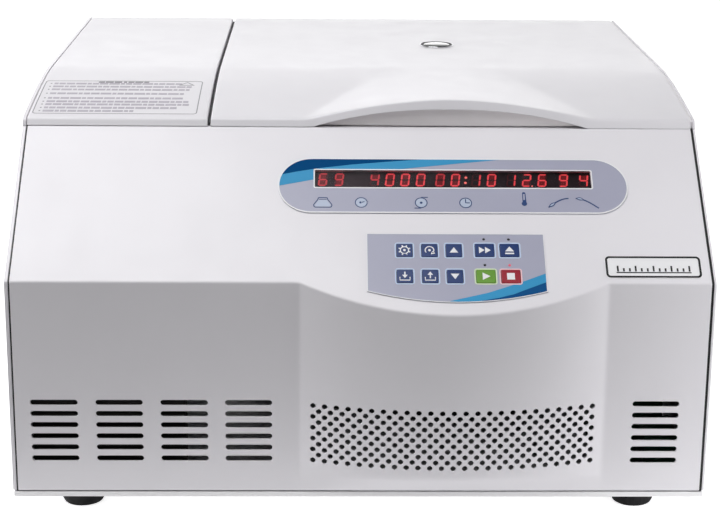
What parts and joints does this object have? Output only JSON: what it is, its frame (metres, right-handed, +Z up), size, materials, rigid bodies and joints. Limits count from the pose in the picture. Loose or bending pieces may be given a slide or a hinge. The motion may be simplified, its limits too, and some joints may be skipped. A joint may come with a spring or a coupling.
{
  "type": "laboratory centrifuge",
  "caption": "Benchtop refrigerated laboratory centrifuge with sloping keypad fascia, bowed perforated front, hinged lid with sight glass and swing-out bucket rotor.",
  "frame": {"origin": "on the bench, in the middle of the machine's outline in plan, feet at z = 0", "axes": "+X to the machine's right as a user faces it, -Y towards the user (the fascia side), +Z up"},
  "size_m": [0.65, 0.688, 0.3782],
  "materials": {
    "white_paint": "smooth powder coat",
    "tray_paint": "smooth powder coat",
    "liner_plastic": "fine moulded grain",
    "stainless_steel": "brushed",
    "dark_steel": "plain rolled",
    "alloy": "anodised satin",
    "chrome_trim": "polished",
    "clear_acrylic": "polished",
    "foot_rubber": "moulded",
    "seal_rubber": "moulded",
    "copper_tube": "drawn copper tube",
    "black_plastic": "moulded",
    "overlay_film": "printed film",
    "smoked_acrylic": "smoked, polished",
    "blue_key": "printed key",
    "green_key": "printed key",
    "red_key": "printed key",
    "circuit_board": "solder resist",
    "motor_paint": "black enamel"
  },
  "bodies": {
    "cabinet": {"base_tray": "tray_paint", "chamber_bowl": "stainless_steel", "chamber_deck": "white_paint", "chamber_seal": "seal_rubber", "compressor": "motor_paint", "condenser": "alloy", "control_board": "circuit_board", "display_overlay": "overlay_film", "display_window": "smoked_acrylic", "evaporator_coil": "copper_tube", "fan_shroud": "black_plastic", "foot_front_left": "foot_rubber", "foot_front_right": "foot_rubber", "foot_rear_left": "foot_rubber", "foot_rear_right": "foot_rubber", "front_panel": "white_paint", "guard_ring": "dark_steel", "hinge_bracket_left": "dark_steel", "hinge_bracket_right": "dark_steel", "keypad_overlay": "overlay_film", "lock_body": "dark_steel", "motor_damper_1": "foot_rubber", "motor_damper_2": "foot_rubber", "motor_damper_3": "foot_rubber", "motor_housing": "motor_paint", "motor_plate": "dark_steel", "power_board": "circuit_board", "power_inlet": "black_plastic", "rear_panel": "white_paint", "side_panel_left": "white_paint", "side_panel_right": "white_paint", "top_left_cover": "white_paint"},
    "lid_assembly": {"lid_shell": "white_paint", "lid_liner": "liner_plastic", "sight_glass": "clear_acrylic", "sight_glass_bezel": "chrome_trim", "latch_striker": "stainless_steel", "lid_hinge_arm_left": "stainless_steel", "lid_hinge_arm_right": "stainless_steel"},
    "rotor": {"drive_spindle": "stainless_steel", "rotor_head": "alloy", "rotor_nut": "stainless_steel"},
    "swing_bucket_1": {"bucket_1": "alloy"},
    "swing_bucket_2": {"bucket_2": "alloy"},
    "swing_bucket_3": {"bucket_3": "alloy"},
    "swing_bucket_4": {"bucket_4": "alloy"},
    "fan": {"fan_blades": "black_plastic"},
    "bolt": {"lock_bolt": "stainless_steel"},
    "rocker": {"power_rocker": "black_plastic"},
    "button_set": {"key_set": "blue_key"},
    "button_rcf": {"key_rcf": "blue_key"},
    "button_up": {"key_up": "blue_key"},
    "button_fast": {"key_fast": "blue_key"},
    "button_open": {"key_open": "blue_key"},
    "button_save": {"key_save": "blue_key"},
    "button_call": {"key_call": "blue_key"},
    "button_down": {"key_down": "blue_key"},
    "button_start": {"key_start": "green_key"},
    "button_stop": {"key_stop": "red_key"}
  },
  "joints": [
    {"name": "lid_hinge", "type": "hinge", "parent": "cabinet", "child": "lid_assembly", "pos_m": [0.087, 0.3365, 0.3655], "axis": [-1, 0, 0], "range_deg": [0, 75]},
    {"name": "rotor_spin", "type": "hinge", "parent": "cabinet", "child": "rotor", "pos_m": [0.087, 0.075, 0.228], "axis": [0, 0, 1], "continuous": true},
    {"name": "bucket_1_swing", "type": "hinge", "parent": "rotor", "child": "swing_bucket_1", "pos_m": [0.185, 0.075, 0.228], "axis": [0, -1, 0], "range_deg": [0, 90]},
    {"name": "bucket_2_swing", "type": "hinge", "parent": "rotor", "child": "swing_bucket_2", "pos_m": [0.087, 0.173, 0.228], "axis": [1, 0, 0], "range_deg": [0, 90]},
    {"name": "bucket_3_swing", "type": "hinge", "parent": "rotor", "child": "swing_bucket_3", "pos_m": [-0.011, 0.075, 0.228], "axis": [0, 1, 0], "range_deg": [0, 90]},
    {"name": "bucket_4_swing", "type": "hinge", "parent": "rotor", "child": "swing_bucket_4", "pos_m": [0.087, -0.023, 0.228], "axis": [-1, 0, 0], "range_deg": [0, 90]},
    {"name": "fan_spin", "type": "hinge", "parent": "cabinet", "child": "fan", "pos_m": [-0.236, -0.259, 0.114], "axis": [0, 1, 0], "continuous": true},
    {"name": "lock_bolt_slide", "type": "slide", "parent": "cabinet", "child": "bolt", "axis": [1, 0, 0], "range_m": [0, 0.014]},
    {"name": "power_rocker_tilt", "type": "hinge", "parent": "cabinet", "child": "rocker", "pos_m": [0.2025, 0.3355, 0.075], "axis": [-1, 0, 0], "range_deg": [0, 20]},
    {"name": "key_set_press", "type": "slide", "parent": "cabinet", "child": "button_set", "axis": [0, 0.6383, -0.7698], "range_m": [0, 0.0006]},
    {"name": "key_rcf_press", "type": "slide", "parent": "cabinet", "child": "button_rcf", "axis": [0, 0.6383, -0.7698], "range_m": [0, 0.0006]},
    {"name": "key_up_press", "type": "slide", "parent": "cabinet", "child": "button_up", "axis": [0, 0.6383, -0.7698], "range_m": [0, 0.0006]},
    {"name": "key_fast_press", "type": "slide", "parent": "cabinet", "child": "button_fast", "axis": [0, 0.6383, -0.7698], "range_m": [0, 0.0006]},
    {"name": "key_open_press", "type": "slide", "parent": "cabinet", "child": "button_open", "axis": [0, 0.6383, -0.7698], "range_m": [0, 0.0006]},
    {"name": "key_save_press", "type": "slide", "parent": "cabinet", "child": "button_save", "axis": [0, 0.6383, -0.7698], "range_m": [0, 0.0006]},
    {"name": "key_call_press", "type": "slide", "parent": "cabinet", "child": "button_call", "axis": [0, 0.6383, -0.7698], "range_m": [0, 0.0006]},
    {"name": "key_down_press", "type": "slide", "parent": "cabinet", "child": "button_down", "axis": [0, 0.6383, -0.7698], "range_m": [0, 0.0006]},
    {"name": "key_start_press", "type": "slide", "parent": "cabinet", "child": "button_start", "axis": [0, 0.6383, -0.7698], "range_m": [0, 0.0006]},
    {"name": "key_stop_press", "type": "slide", "parent": "cabinet", "child": "button_stop", "axis": [0, 0.6383, -0.7698], "range_m": [0, 0.0006]}
  ],
  "couplings": [
    {"joint": "bucket_2_swing", "follows": "bucket_1_swing", "ratio": 1},
    {"joint": "bucket_3_swing", "follows": "bucket_1_swing", "ratio": 1},
    {"joint": "bucket_4_swing", "follows": "bucket_1_swing", "ratio": 1}
  ]
}
